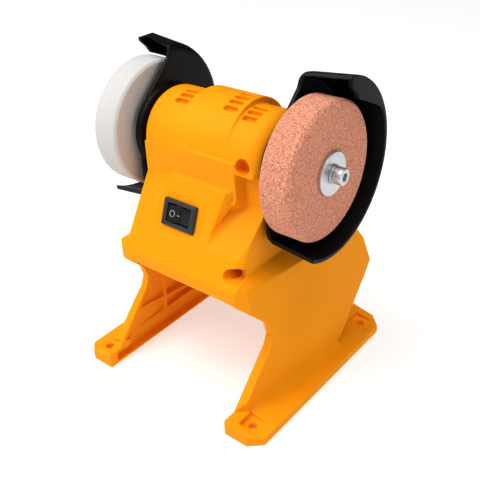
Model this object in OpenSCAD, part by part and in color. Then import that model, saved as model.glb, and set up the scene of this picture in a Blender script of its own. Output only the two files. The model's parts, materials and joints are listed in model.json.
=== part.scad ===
// Mini bench grinder: a moulded housing on two raked legs, with a motor that turns a grinding wheel on
// one end of its shaft and a polishing wheel on the other, each under a half-round guard.
// X runs along the shaft (grinding wheel at +X), the switch panel faces -Y, Z is up from the bench.

/* [Wheels] */
// Height of the shaft above the bench
shaft_z = 141; // [136:0.5:148]
// Outside diameter of both wheels
wheel_d = 75; // [68:1:80]
// Width of both wheels
wheel_w = 18; // [14:0.5:22]
// Bore of both wheels and diameter of the shaft ends
bore_d = 10; // [9:0.5:11]
// Chamfer on the edges of both wheels
wheel_chamfer = 1.5; // [0.5:0.1:3]

/* [Motor tube] */
// Length of the moulded tube round the motor
tube_len = 84; // [80:0.5:90]
// Diameter of the tube's end sections
tube_d = 51.8; // [50:0.2:54]
// Diameter of the raised middle section
collar_d = 55.8; // [55.4:0.1:56.4]
// Length of the raised middle section
collar_len = 35; // [32:1:37]
// Rounding of the tube's ends
tube_round = 8; // [5:0.5:9]
// Thickness of the moulded walls
wall = 2.4; // [2:0.1:2.6]
// Thickness of the tube's wall
tube_wall = 4.4; // [4:0.1:4.6]
// Length of a vent slot
slot_len = 8.8; // [6:0.2:9.6]
// Width of a vent slot
slot_w = 3; // [2:0.1:3.4]
// Depth of a vent slot
slot_deep = 2.8; // [1.5:0.1:3]

/* [Body] */
// Distance from the shaft to the front and back faces
face_y = 26; // [25.5:0.1:27]
// Height from the shaft down to the top of the sloped panel
panel_drop = 17.5; // [15:0.5:20]
// Lean of the sloped panel from the vertical, in degrees
panel_tilt = 30.7; // [28:0.1:33]
// Distance from the shaft to the front of the skirt
skirt_y = 50; // [48:0.5:52]
// Height from the shaft down to the underside of the body
belly_drop = 65; // [62:0.5:68]
// Thickness of the floor of the body
floor_t = 3; // [2:0.5:4]
// Depth of the step beside the panel
step_y = 6.7; // [6:0.1:7]
// Chamfer on the sides of the body
side_chamfer = 3; // [1:0.5:4]
// Radius of the screw recesses
recess_r = 4.3; // [3.8:0.1:4.4]

/* [Legs] */
// Distance from the middle to the inner edge of each leg
leg_in = 46.5; // [45:0.5:48]
// Distance from the middle to the outer face of each leg, where it meets the foot at the front
leg_out = 53; // [52:0.5:55]
// Inward lean of the legs' outer faces, in degrees
leg_lean = 4.7; // [4:0.1:5]
// Outward flare of the legs' outer faces towards the back, in degrees
leg_flare = 4.3; // [3:0.1:5]
// Thickness of the legs' walls
leg_wall = 3; // [2:0.1:3.4]
// Thickness of the cross ribs in the legs
rib_t = 2; // [1:0.1:3]

/* [Feet] */
// Distance from the middle to the outer edge of each foot
foot_out = 69.5; // [68:0.5:72]
// Length of each foot
foot_len = 136; // [132:1:142]
// Height of the foot at its inner edge
foot_h = 10; // [9:0.5:11]
// Height of the foot at its outer edge
foot_edge = 5; // [4.5:0.1:6]
// Distance between the bench screws along the shaft
hole_dx = 117; // [115:0.5:119]
// Distance between the bench screws from front to back
hole_dy = 115; // [112:0.5:118]
// Diameter of the bench screw holes
hole_d = 5; // [4:0.1:6]

/* [Guards] */
// Gap between a wheel and its guard
guard_gap = 6; // [4:0.5:8]
// Thickness of the guard
guard_t = 2.5; // [2:0.1:3]
// How far the guard reaches past the wheel's outer face
guard_over = 5; // [4:0.5:7]
// Extra radius of the guard at its outer rim
guard_draft = 2.5; // [1:0.5:4]
// Thickness of the hub between the guard and the tube
hub_t = 2; // [1.5:0.1:3]
// Height of the guards' middle above the shaft
guard_rise = 1.7; // [0:0.1:2.5]
// Width of the lip at the top of the guard
lip_w = 11.5; // [9:0.5:12]

/* [Switch] */
// Width of the switch bezel
bezel_w = 23; // [21:0.5:24]
// Height of the switch bezel
bezel_h = 15; // [14:0.5:16]
// Sideways place of the switch
switch_x = -6.7; // [-9:0.1:-5]
// Travel of the rocker, in degrees
rocker_swing = 24; // [16:1:26]

/* [Motor] */
// Diameter of the motor can
can_d = 32; // [31:0.5:32.5]
// Length of the motor can
can_len = 60; // [56:1:62]
// Diameter of the shaft in the bearings
journal_d = 8; // [7:0.5:9]
// Outside diameter of the bearings
bearing_d = 16; // [15:0.5:17]
// Width of the bearings
bearing_w = 5; // [4:0.5:5]

/* [Hidden] */
$fn = 96;

// Clearances
run_gap = 0.5;
seat_gap = 0.15;
fit_gap = 0.03;
cut = 1;

// Stations along the shaft
tube_end = tube_len / 2;
body_end = tube_end - 0.5;
inner_end = tube_end - wall;
guard_x = tube_end + hub_t;
flange_t = 3;
flange_r = 12;
wheel_x = guard_x + guard_t + run_gap + flange_t;
wheel_end = wheel_x + wheel_w;
rim_x = wheel_end + guard_over;
washer_t = 2;
washer_r = 11.8;
spring_t = 1.6;
bolt_head_r = 4.6;
bolt_head_h = 5;
bolt_r = 2.5;
collar_r = bore_d / 2 + 2;
collar_x = 2.4;
collar_set = [collar_x, 2.35, 0.8];
collar_in = tube_end - 5;

// Heights
belly_z = shaft_z - belly_drop;
panel_z = shaft_z - panel_drop;
slope = tan(panel_tilt);
skirt_z = panel_z - (skirt_y - face_y) / slope;
valley_z = belly_z + 12;
wedge_z = panel_z - 25;
function panel_y(z) = face_y + (panel_z - z) * slope;

// Outlines are lists of [y, z] points, anticlockwise with the front on the left
function turn(p, i) = p[(i + len(p)) % len(p)];
function heading(a, b) = (b - a) / norm(b - a);
function moved_corner(p, i, d) =
    let(e = heading(turn(p, i - 1), p[i]), f = heading(p[i], turn(p, i + 1)))
    let(m = [-e[1] - f[1], e[0] + f[0]])
    p[i] + m * d / (1 + e * f);
function inset(p, d) = [for (i = [0 : len(p) - 1]) moved_corner(p, i, d)];
body_outline = [[-skirt_y, belly_z], [skirt_y, belly_z], [skirt_y, skirt_z], [face_y, panel_z],
    [face_y, shaft_z + 1], [-face_y, shaft_z + 1], [-face_y, panel_z], [-skirt_y, skirt_z]];
step_front = face_y - step_y;
cavity_front = step_front - wall;
cavity_drop = wall / cos(panel_tilt);
cavity_outline = [[wall - skirt_y, belly_z + floor_t], [skirt_y - wall, belly_z + floor_t],
    [skirt_y - wall, skirt_z - 1], [face_y - wall, panel_z - 1], [face_y - wall, shaft_z],
    [-cavity_front, shaft_z], [-cavity_front, panel_z - cavity_drop],
    [cavity_drop - panel_y(wedge_z), wedge_z], [wall - skirt_y, skirt_z - 1]];

// Side outline of a leg: foot, waist, skirt and back, all measured from the bench and the belly
waist_y = 28.3;
waist_z = belly_z - 29;
heel_y = 32;
toe_y = 60.5;
back_y = 66.5;
back_z = belly_z - 26;
shoulder_y = 60;
shoulder_z = belly_z - 7;
leg_top = valley_z + 4;
leg_skirt = skirt_y - 0.25;
function leg_y(z) = panel_y(z) - 0.25;
leg_outline = [[-toe_y, foot_h - 1], [heel_y, foot_h - 1], [back_y, back_z], [shoulder_y, shoulder_z],
    [leg_y(belly_z + 7), belly_z + 7], [leg_y(leg_top), leg_top], [-leg_y(leg_top), leg_top],
    [-leg_skirt, skirt_z], [-leg_skirt, belly_z], [-leg_skirt + 3, belly_z - 4],
    [-waist_y - 3.2, waist_z + 9.5], [-waist_y, waist_z], [-waist_y - 2.7, waist_z - 6.5]];
corner_top = skirt_y + tube_end;
corner_low = leg_in + toe_y - 1;
leg_anchor = [leg_out, -51, foot_h - 1];

// Bench screws and pockets
hole_x = hole_dx / 2;
hole_y = hole_dy / 2;
pocket_r = 5.5;
pocket_z = foot_edge + 0.15;

// Rear cover
seam_y = 15;
cover_x = inner_end - seat_gap;
cover_z = belly_z + floor_t + seat_gap;
boss_r = 4;
screw_r = 1.5;
screw_head_r = 3;
screw_head_h = 2.2;
low_screw = [tube_end - 6.4, belly_z + 13.8];
low_recess_r = screw_head_r + 0.4;
rear_screw_x = tube_end - 8;
rear_boss_r = screw_head_r + 1.6;
high_z = panel_z - 6.5;
front_screw_y = 2;
rear_screw_y = seam_y + 3;
screw_len = 16;
motor_screw_x = can_len / 2 + 1.4;
motor_screw_z = shaft_z + 3;
motor_screw_y = -step_front + 0.6;

// Guard
guard_in = wheel_d / 2 + guard_gap;
guard_out = guard_in + guard_t;
guard_rim_out = guard_out + guard_draft;
hub_r = tube_d / 2 - 0.6;
guard_hole_r = collar_r + 2;
guard_screw_ring = hub_r - 6.5;
guard_screw_angles = [100, 180, 260];
guard_top = 78;
guard_bottom = -117;

// Switch, measured on the sloped panel
switch_z = panel_z - 15.5;
switch_depth = 15;
bezel_t = 2;
body_w = bezel_w - 4;
body_h = bezel_h - 2;
rocker_w = body_w - 2.8;
rocker_h = body_h - 2;
rocker_pivot = -1.5;
blade_len = 7;
blade_w = 4.8;
blade_x = body_w / 2 - 4;

// Power socket on the back slope
socket_z = panel_z - 20;
socket_r = 4;
socket_flange_r = 6.5;
socket_nut_t = 2.5;
socket_len = 9;
socket_tail = 7;

// Motor
can_r = can_d / 2;
can_end = can_len / 2;
can_wall = 1.5;
ring_x = can_end - 6.2;
bell_t = 2.6;
bearing_in = can_end - 2;
bearing_cup = 1.6;
magnet_t = 2.6;
air_gap = 0.6;
core_r = can_r - can_wall - magnet_t - air_gap;
core_x = [-15, 12];
winding_len = 4.5;
commutator_r = 8;
commutator_x = [18.2, 25];
brush_w = 4;
brush_len = 5;
brush_x = (commutator_x[0] + commutator_x[1]) / 2;
fan_x = [-26.6, -21.6];
fan_r = core_r - 1.5;
holder_h = 3.5;
holder_y = commutator_r + 2 + holder_h / 2;

yellow = [0.98, 0.66, 0.1];
black = [0.09, 0.09, 0.1];
steel = [0.72, 0.73, 0.75];

// Solid of a [y, z] outline between two places along X
module side_slab(x0, x1) {
    translate([x0, 0, 0]) rotate([90, 0, 90]) linear_extrude(x1 - x0) children();
}

// Solid of an [x, z] outline between two places along Y
module front_slab(y0, y1) {
    translate([0, y1, 0]) rotate([90, 0, 0]) linear_extrude(y1 - y0) children();
}

// Puts a shape that is turned about Z onto the shaft, with Z along X
module on_shaft() {
    translate([0, 0, shaft_z]) rotate([0, 90, 0]) children();
}

module rod(x0, x1, r) {
    on_shaft() translate([0, 0, x0]) cylinder(h = x1 - x0, r = r);
}

module ring(x0, x1, r_out, r_in) {
    difference() {
        rod(x0, x1, r_out);
        rod(x0 - cut, x1 + cut, r_in);
    }
}

// Round bar along Y
module bar_y(x, z, y0, y1, r) {
    translate([x, y0, z]) rotate([-90, 0, 0]) cylinder(h = y1 - y0, r = r);
}

// Solid between an outline at one place along X and its match at another; the ends are strips from one
// side of the outline to the other, because the outline is hollow below the tube
module loft(a, b, x0, x1) {
    n = len(a);
    low = [for (p = a) [x0, p[0], p[1]]];
    high = [for (p = b) [x1, p[0], p[1]]];
    sides = [for (i = [0 : n - 1]) each [[i, i + n, (i + 1) % n], [(i + 1) % n, i + n, (i + 1) % n + n]]];
    strips = [for (k = [0 : n / 2 - 2]) [(n - k) % n, k + 1, k + 2, n - 1 - k]];
    far_strips = [for (q = strips) [q[3] + n, q[2] + n, q[1] + n, q[0] + n]];
    polyhedron(concat(low, high), concat(sides, strips, far_strips));
}

module both_sides() {
    children();
    mirror([1, 0, 0]) children();
}

// Frame of the sloped panel: X across, Y up the slope, Z out of the panel
module on_panel(x, z) {
    translate([x, -panel_y(z), z]) rotate([90 - panel_tilt, 0, 0]) children();
}

module on_back_slope(x, z) {
    translate([x, panel_y(z), z]) rotate([0, 0, 180]) rotate([90 - panel_tilt, 0, 0]) children();
}

module block(size, at = [0, 0, 0]) {
    translate(at - size / 2) cube(size);
}

// Housing

// Round-ended tube, moved in by d all over
module tube_solid(d) {
    r = tube_d / 2 - tube_round;
    x = tube_end - tube_round;
    q = tube_round - d;
    end_arc = [for (a = [0 : 10 : 90]) [r + q * cos(a), x + q * sin(a)]];
    on_shaft() rotate_extrude() polygon(half_and_mirror(concat([[r + q, 0]], end_arc, [[0, x + q]])));
}

// The raised middle section stands off the tube at the top and back and runs into it at the front
module collar_solid() {
    c = collar_d / 2;
    half = collar_len / 2;
    translate(collar_set) on_shaft() rotate_extrude() polygon([[0, -half - 2], [c - 4, -half - 2],
        [c - 1, -half], [c, -half + 2], [c, half - 0.3], [c - 0.3, half], [0, half]]);
}

module tube_outer() {
    tube_solid(0);
    collar_solid();
}

function half_and_mirror(p) =
    concat([for (i = [len(p) - 1 : -1 : 1]) [p[i][0], -p[i][1]]], p);

module body_outer() {
    narrow = inset(body_outline, side_chamfer);
    x0 = body_end - side_chamfer;
    side_slab(-x0, x0) polygon(body_outline);
    loft(body_outline, narrow, x0, body_end);
    loft(narrow, body_outline, -body_end, -x0);
}

// The body is cut back to the right of the panel: a slanted wall beside the upright face, and below it
// a slanted facet that runs out at a point low on the panel
function past(p, q, k) = p + k * (p - q);

module step_notch(d) {
    far = 2 * tube_end;
    edge = face_y + 0.7;
    draft = 0.4;
    deep = [edge + draft * step_y, -step_front, panel_z - 4.3];
    low = past([edge - 10, -panel_y(wedge_z), wedge_z], deep, 0.2);
    side = past([edge - 9, -panel_y(panel_z - 7.8), panel_z - 7.8], deep, 0.3);
    top = past([edge, -panel_y(panel_z - 1.3), panel_z - 1.3], deep, 0.3);
    points = [low, side, top, deep, [far, deep[1], deep[2]], [far, low[1], low[2]], [far, -far, low[2]],
        [far, -far, top[2]]];
    translate([-1.2 * d, d, 0]) {
        translate([0, 0, deep[2]]) linear_extrude(shaft_z - 2 - deep[2] + d)
            polygon([[deep[0], deep[1]], [far, deep[1]], [far, -far], [edge - 6 * draft, -far],
                [edge - 6 * draft, -face_y - 6]]);
        hull() polyhedron(points, [[0, 1, 2], [3, 4, 5], [5, 6, 7]]);
    }
}

// Half space inside the leaning, flaring outer face of the right leg, moved in by d
module inside_leg_face(d) {
    far = 4 * shaft_z;
    translate(leg_anchor) rotate([0, -leg_lean, -leg_flare]) translate([-far - d, -far / 2, -far / 2])
        cube(far);
}

// Keeps what is behind the diagonal front corner
module behind_corner(reach, z0, z1) {
    far = 4 * shaft_z;
    translate([0, 0, z0]) linear_extrude(z1 - z0) polygon([[0, -reach], [reach + far, far], [-far, far],
        [-far, -reach]]);
}

module shoulder_slope() {
    front_slab(-2 * skirt_y, 2 * skirt_y) polygon([[0, 0], [2 * foot_out, 0], [2 * foot_out, belly_z - 30],
        [tube_end + 8, valley_z - 6], [tube_end - 1, valley_z + 1], [0, valley_z + 1]]);
}

module leg_block(outline, d, x0) {
    intersection() {
        side_slab(x0, 2 * foot_out) polygon(outline);
        inside_leg_face(d);
        shoulder_slope();
        union() {
            behind_corner(corner_low - d * sqrt(2), 0, waist_z);
            behind_corner(corner_top, waist_z - cut, leg_top + cut);
        }
    }
}

module leg_shell() {
    difference() {
        leg_block(leg_outline, 0, leg_in);
        difference() {
            leg_block(inset(leg_outline, leg_wall), leg_wall, leg_in - cut);
            translate([0, -2 * skirt_y, belly_z]) cube([2 * foot_out, 4 * skirt_y, shaft_z]);
            leg_ribs();
        }
    }
    intersection() {
        leg_block(leg_outline, 0, 0);
        translate([0, -2 * skirt_y, belly_z]) cube([2 * foot_out, 4 * skirt_y, shaft_z]);
    }
}

module leg_ribs() {
    rib_x = leg_in + 2;
    intersection() {
        union() {
            side_slab(rib_x, foot_out) translate([-toe_y, 0.4 * belly_z]) rotate(-9)
                translate([0, -rib_t / 2]) square([2 * back_y, rib_t]);
            side_slab(rib_x, foot_out) translate([-waist_y / 2, foot_h]) rotate(88)
                translate([0, -rib_t / 2]) square([belly_z, rib_t]);
        }
        leg_block(leg_outline, leg_wall / 2, leg_in);
    }
}

module foot() {
    half = foot_len / 2;
    trim = [7.3, 6.6];
    difference() {
        intersection() {
            linear_extrude(2 * foot_h) polygon([[leg_in, -half], [foot_out - trim[0], -half],
                [foot_out, trim[1] - half], [foot_out, half - trim[1]], [foot_out - trim[0], half],
                [leg_in, half]]);
            front_slab(-half, half) polygon([[leg_in, 0], [foot_out, 0], [foot_out, foot_edge],
                [leg_in, foot_h]]);
        }
        for (s = [-1, 1]) {
            translate([hole_x, s * hole_y, -cut]) cylinder(h = 2 * foot_h, d = hole_d);
            translate([hole_x - pocket_r, s * hole_y - pocket_r, pocket_z])
                cube([foot_out, 2 * pocket_r, foot_h]);
        }
    }
}

// Blind slots in the tube
module vent_slots(x, r, angles) {
    for (a = angles)
        translate([x, 0, shaft_z]) rotate([a, 0, 0]) block([slot_len, 2 * slot_deep, slot_w], [0, r, 0]);
}

module all_vents() {
    side_angles = [93 : 11 : 115];
    vent_slots(-collar_len / 2 - slot_len / 2 + 0.5, tube_d / 2, side_angles);
    vent_slots(collar_x + collar_len / 2 + slot_len / 2 + 1.3, tube_d / 2, side_angles);
    translate(collar_set) vent_slots(collar_len / 2 - slot_len / 2 - 3.2, collar_d / 2, [83 : 11 : 116]);
}

module cavity() {
    tube_solid(tube_wall);
    side_slab(-inner_end, inner_end) polygon(cavity_outline);
}

// Rings that hold the motor, one near each end of the can
module motor_rings() {
    for (s = [-1, 1])
        ring(s * ring_x - 2, s * ring_x + 2, tube_d / 2 - wall + 0.4, can_r + seat_gap);
}

// Space that the rear cover takes out of the housing
module cover_space(d) {
    x = inner_end - d;
    translate([-x, seam_y + d, cover_z - seat_gap + d]) cube([2 * x, 2 * skirt_y, shaft_z]);
}

// Screws that go in from the back: two high ones and one at the low left, as [x, z]
rear_screws = [[-rear_screw_x, high_z], [rear_screw_x, high_z], [-rear_screw_x, low_screw[1]]];

module front_bosses() {
    bar_y(low_screw[0], low_screw[1], -skirt_y, seam_y, low_recess_r + 1.8);
    bar_y(motor_screw_x, motor_screw_z, -tube_d / 2, -can_r - 2 * seat_gap, recess_r + 1.6);
    for (p = rear_screws) {
        bar_y(p[0], p[1], 0, seam_y, boss_r);
        translate([p[0] < 0 ? -inner_end - cut : p[0], 0, p[1] - 1])
            cube([inner_end + cut - rear_screw_x, seam_y, 2]);
    }
}

module guard_bosses() {
    for (s = [-1, 1], a = guard_screw_angles)
        translate([0, guard_screw_ring * cos(a), shaft_z + guard_screw_ring * sin(a)])
            rotate([0, s * 90, 0]) translate([0, 0, inner_end - 3]) cylinder(h = 3 + cut, r = 3);
}

module guard_screw_holes() {
    for (s = [-1, 1], a = guard_screw_angles)
        translate([0, guard_screw_ring * cos(a), shaft_z + guard_screw_ring * sin(a)])
            rotate([0, s * 90, 0]) translate([0, 0, inner_end - 4]) cylinder(h = 30, r = screw_r + fit_gap);
}

module switch_cutout() {
    on_panel(switch_x, switch_z) {
        block([body_w + 0.3, body_h + 0.3, 4 * switch_depth]);
        block([bezel_w + 4, bezel_h + 4, 2 * switch_depth], [0, 0, -switch_depth - wall]);
    }
}

module housing_outer() {
    tube_outer();
    body_outer();
    both_sides() {
        leg_shell();
        foot();
    }
}

module inner_ribs() {
    intersection() {
        union() {
            motor_rings();
            front_bosses();
            guard_bosses();
        }
        union() {
            tube_outer();
            side_slab(wall / 2 - body_end, body_end - wall / 2) polygon(inset(body_outline, wall / 2));
        }
    }
}

module main_housing() {
    color(yellow) difference() {
        union() {
            difference() {
                housing_outer();
                difference() {
                    cavity();
                    step_notch(wall);
                }
            }
            inner_ribs();
        }
        step_notch(0);
        cover_space(0);
        all_vents();
        switch_cutout();
        rod(-2 * tube_end, 2 * tube_end, guard_hole_r);
        guard_screw_holes();
        bar_y(low_screw[0], low_screw[1], -2 * skirt_y, front_screw_y, low_recess_r);
        bar_y(low_screw[0] + 3.8, low_screw[1], -2 * skirt_y, 12 - skirt_y, low_recess_r - 0.3);
        bar_y(low_screw[0], low_screw[1], 0, 2 * seam_y, screw_r + fit_gap);
        for (p = rear_screws)
            bar_y(p[0], p[1], cut, 2 * seam_y, screw_r + fit_gap);
        bar_y(motor_screw_x, motor_screw_z, -2 * face_y, motor_screw_y, recess_r);
        bar_y(motor_screw_x, motor_screw_z, -2 * face_y, 0, screw_r + fit_gap);
    }
}

module rear_cover() {
    color(yellow) difference() {
        intersection() {
            union() {
                difference() {
                    union() {
                        tube_outer();
                        body_outer();
                    }
                    cavity();
                }
                difference() {
                    motor_rings();
                    rod(-tube_len, tube_len, can_r + seat_gap);
                }
                intersection() {
                    union() {
                        bar_y(low_screw[0], low_screw[1], seam_y, skirt_y, boss_r - 1);
                        for (p = rear_screws)
                            bar_y(p[0], p[1], seam_y, skirt_y, rear_boss_r);
                    }
                    side_slab(-tube_end, tube_end) polygon(inset(body_outline, wall / 2));
                }
            }
            cover_space(seat_gap);
        }
        bar_y(low_screw[0], low_screw[1], 0, seam_y + 8, screw_r + fit_gap);
        for (p = rear_screws) {
            bar_y(p[0], p[1], 0, 2 * skirt_y, screw_r + fit_gap);
            bar_y(p[0], p[1], rear_screw_y, 2 * skirt_y, screw_head_r + 0.2);
        }
        on_back_slope(0, socket_z) cylinder(h = 8 * wall, r = socket_r + 0.1, center = true);
    }
}

// Guards

module guard_profile() {
    bend = 5;
    r0 = guard_out - bend;
    arc_out = [for (a = [0 : 15 : 90]) [r0 + bend * sin(a), guard_x + bend - bend * cos(a)]];
    in = bend - guard_t;
    arc_in = [for (a = [90 : -15 : 0]) [r0 + in * sin(a), guard_x + bend - in * cos(a)]];
    rim = [[guard_rim_out, rim_x], [guard_rim_out - guard_t, rim_x]];
    polygon(concat([[guard_hole_r, guard_x]], arc_out, rim, arc_in, [[guard_hole_r, guard_x + guard_t]]));
}

// What the guard keeps round its back: [y, z] from the shaft
module guard_reach() {
    far = 3 * wheel_d;
    top = guard_rim_out * [cos(guard_top), sin(guard_top)];
    bottom = guard_rim_out * [cos(guard_bottom), sin(guard_bottom)];
    side_slab(0, far) translate([0, shaft_z]) polygon([2 * top, top, top - [3.5, 4.2], top - [6, 10],
        top - [10, 14], [-0.55 * hub_r, 0.8 * hub_r], [-0.9 * hub_r, -0.45 * hub_r], bottom + [-1.5, 9],
        bottom, 3 * bottom, [far, -far], [far, far]]);
}

// Flat lip across the outer side of the guard's top end
module guard_lip() {
    r = guard_rim_out - guard_t / 2;
    inner = guard_rim_out - lip_w;
    edge = [[77, inner + 5.4], [69, inner + 2.5], [63, inner], [56, inner + 0.6], [46, inner + 2.3],
        [32, inner + 6.8], [19, r + 1], [19, 2 * r]];
    intersection() {
        ring(rim_x - guard_t, rim_x, r, inner - 3);
        guard_reach();
        side_slab(0, 2 * rim_x) translate([0, shaft_z])
            polygon(concat([[0, 2 * r]], [for (e = edge) e[1] * [cos(e[0]), sin(e[0])]]));
    }
}

module guard() {
    difference() {
        union() {
            translate([0, 0, guard_rise]) {
                intersection() {
                    on_shaft() rotate_extrude() guard_profile();
                    guard_reach();
                }
                guard_lip();
            }
            rod(tube_end, guard_x + guard_t, hub_r);
        }
        rod(0, 2 * rim_x, guard_hole_r);
        guard_screw_holes();
    }
}

// The left guard's top end is cut back at a slant, which leaves its lip standing out
module slant_cut() {
    front = guard_rim_out * cos(guard_top);
    translate([0, 0, shaft_z + guard_rise + 0.9 * guard_rim_out]) linear_extrude(guard_rim_out)
        polygon([[guard_x, front], [rim_x + cut, front + 11.5], [rim_x + cut, -front], [guard_x, -front]]);
}

module right_guard() {
    color(black) guard();
}

module left_guard() {
    color(black) mirror([1, 0, 0]) difference() {
        guard();
        slant_cut();
    }
}

// Motor

module motor_can() {
    color(steel) difference() {
        ring(-can_end, can_end, can_r, can_r - can_wall);
        bar_y(motor_screw_x, motor_screw_z, -2 * can_r, 0, screw_r + fit_gap);
    }
}

module end_bell() {
    difference() {
        union() {
            rod(can_end, can_end + bell_t, can_r);
            rod(bearing_in, bearing_in + bearing_w + bearing_cup, bearing_d / 2 + bearing_cup);
        }
        rod(bearing_in - cut, bearing_in + bearing_w, bearing_d / 2 + fit_gap);
        rod(0, 2 * can_end, journal_d / 2 + 1);
        for (a = [0 : 60 : 300])
            translate([0, 0, shaft_z]) rotate([a, 0, 0]) translate([can_end - 5, 0, 0.74 * can_r])
                rotate([0, 90, 0]) cylinder(h = 20, r = 0.11 * can_r);
    }
}

module left_end_bell() {
    color([0.3, 0.3, 0.32]) mirror([1, 0, 0]) end_bell();
}

module right_end_bell() {
    color([0.3, 0.3, 0.32]) difference() {
        end_bell();
        bar_y(motor_screw_x, motor_screw_z, -2 * can_r, 0, screw_r - 0.2);
    }
}

module field_magnets() {
    r = can_r - can_wall;
    color([0.25, 0.25, 0.27]) intersection() {
        ring(core_x[0] - 3, core_x[1] + 3, r - fit_gap, r - magnet_t);
        for (s = [-1, 1])
            translate([0, s * can_r, shaft_z]) block([can_len, 1.5 * can_r, 1.4 * can_r]);
    }
}

module shaft_bearings() {
    color(steel) both_sides()
        ring(bearing_in, bearing_in + bearing_w, bearing_d / 2, journal_d / 2 + fit_gap);
}

module brush_holders() {
    w = brush_w + 2;
    color([0.75, 0.6, 0.3]) for (s = [-1, 1])
        difference() {
            translate([brush_x - w / 2, s * holder_y - holder_h / 2, shaft_z - w / 2])
                cube([can_end - brush_x + w / 2, holder_h, w]);
            block([brush_w + 0.1, 2 * can_d, brush_w + 0.1], [brush_x, 0, shaft_z]);
        }
}

module carbon_brushes() {
    color([0.16, 0.16, 0.16]) difference() {
        for (s = [-1, 1])
            block([brush_w, brush_len, brush_w], [brush_x, s * (commutator_r + brush_len / 2), shaft_z]);
        rod(0, can_end, commutator_r + fit_gap);
    }
}

module motor_screw() {
    color(steel) bar_y(motor_screw_x, motor_screw_z, motor_screw_y + 0.4, -can_r + 4, screw_r - 0.25);
}

module cover_screw(x, z, y_head, s) {
    y_tip = y_head + s * screw_len;
    y_top = y_head - s * screw_head_h;
    bar_y(x, z, min(y_head, y_top), max(y_head, y_top), screw_head_r);
    bar_y(x, z, min(y_top, y_tip), max(y_top, y_tip), screw_r);
}

module cover_screws() {
    color(steel) {
        cover_screw(low_screw[0], low_screw[1], front_screw_y, 1);
        for (p = rear_screws)
            cover_screw(p[0], p[1], rear_screw_y, -1);
    }
}

module guard_screws() {
    x = guard_x + guard_t;
    color(steel) for (s = [-1, 1], a = guard_screw_angles)
        translate([0, guard_screw_ring * cos(a), shaft_z + guard_screw_ring * sin(a)])
            rotate([0, s * 90, 0]) {
            translate([0, 0, x]) cylinder(h = 1.8, r = screw_head_r);
            translate([0, 0, inner_end - 3]) cylinder(h = x - inner_end + 3 + cut, r = screw_r);
        }
}

// Switch

module switch_body() {
    color(black) on_panel(switch_x, switch_z) difference() {
        union() {
            block([bezel_w, bezel_h, bezel_t], [0, 0, bezel_t / 2]);
            block([body_w, body_h, switch_depth], [0, 0, cut - switch_depth / 2]);
        }
        block([rocker_w + 1.6, rocker_h + 0.8, switch_depth], [0, 0, switch_depth / 2 - 7]);
        translate([0, 0, rocker_pivot]) rotate([90, 0, 0])
            cylinder(h = rocker_h + 2.2, r = 1.05, center = true);
    }
}

module switch_rocker() {
    half = rocker_swing / 2;
    w = rocker_w / 2;
    color([0.14, 0.14, 0.15]) on_panel(switch_x, switch_z) translate([0, 0, rocker_pivot])
        rotate([0, half, 0]) {
            rotate([90, 0, 0]) linear_extrude(rocker_h, center = true) polygon([[0.3 - w, 4.4], [0, 3.4],
                [w - 0.3, 4.4], [w - 0.5, 2], [2.2, -2.4], [-2.2, -2.4], [0.5 - w, 2]]);
            rotate([90, 0, 0]) cylinder(h = rocker_h + 1.6, r = 1, center = true);
        }
}

module switch_terminals() {
    color([0.85, 0.75, 0.5]) on_panel(switch_x, switch_z)
        for (x = [-blade_x, blade_x])
            block([0.8, blade_w, blade_len], [x, 0, cut - switch_depth - blade_len / 2]);
}

// Power socket

module power_socket() {
    color(black) on_back_slope(0, socket_z) difference() {
        union() {
            cylinder(h = 1.6, r = socket_flange_r);
            translate([0, 0, -socket_len]) cylinder(h = socket_len + cut, r = socket_r);
            translate([0, 0, -socket_len - socket_tail])
                cylinder(h = socket_tail + cut / 2, r = socket_r - 1);
        }
        translate([0, 0, cut - socket_len]) cylinder(h = 2 * socket_len, r = socket_r - 1.2);
    }
}

module socket_nut() {
    depth = wall + seat_gap + 0.6;
    color(steel) on_back_slope(0, socket_z) translate([0, 0, -depth - socket_nut_t]) difference() {
        cylinder(h = socket_nut_t, r = socket_r + 2, $fn = 6);
        translate([0, 0, -cut]) cylinder(h = 2 * socket_nut_t, r = socket_r + fit_gap);
    }
}

// Turning parts

module shaft() {
    color(steel) difference() {
        union() {
            rod(-wheel_end + 1, wheel_end - 1, journal_d / 2);
            both_sides() {
                rod(collar_in, wheel_x - flange_t, collar_r);
                rod(collar_in, wheel_end - 1, bore_d / 2);
            }
        }
        both_sides() rod(wheel_end - 16, wheel_end, bolt_r + fit_gap);
    }
}

module armature_core() {
    slots = 9;
    color([0.5, 0.5, 0.52]) difference() {
        ring(core_x[0], core_x[1], core_r, journal_d / 2);
        for (i = [0 : slots - 1])
            translate([0, 0, shaft_z]) rotate([i * 360 / slots, 0, 0])
                block([can_len, core_r, 2], [0, core_r * 1.12, 0]);
    }
}

module armature_windings() {
    r = 0.8 * core_r;
    color([0.72, 0.4, 0.2]) {
        ring(core_x[0] - winding_len, core_x[0], r, journal_d / 2);
        ring(core_x[1], core_x[1] + winding_len, r, journal_d / 2);
    }
}

module commutator() {
    bars = 9;
    color([0.72, 0.45, 0.25]) difference() {
        ring(commutator_x[0], commutator_x[1], commutator_r, journal_d / 2);
        for (i = [0 : bars - 1])
            translate([0, 0, shaft_z]) rotate([i * 360 / bars, 0, 0])
                block([can_len, 1.2, 0.5], [0, commutator_r, 0]);
    }
}

module cooling_fan() {
    blades = 9;
    width = fan_x[1] - fan_x[0];
    color([0.2, 0.2, 0.22]) {
        ring(fan_x[0], fan_x[1], 7, journal_d / 2);
        for (i = [0 : blades - 1])
            translate([0, 0, shaft_z]) rotate([i * 360 / blades, 0, 0])
                block([width, fan_r - 6, 1.2], [fan_x[0] + width / 2, (fan_r + 6) / 2, 0]);
    }
}

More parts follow.
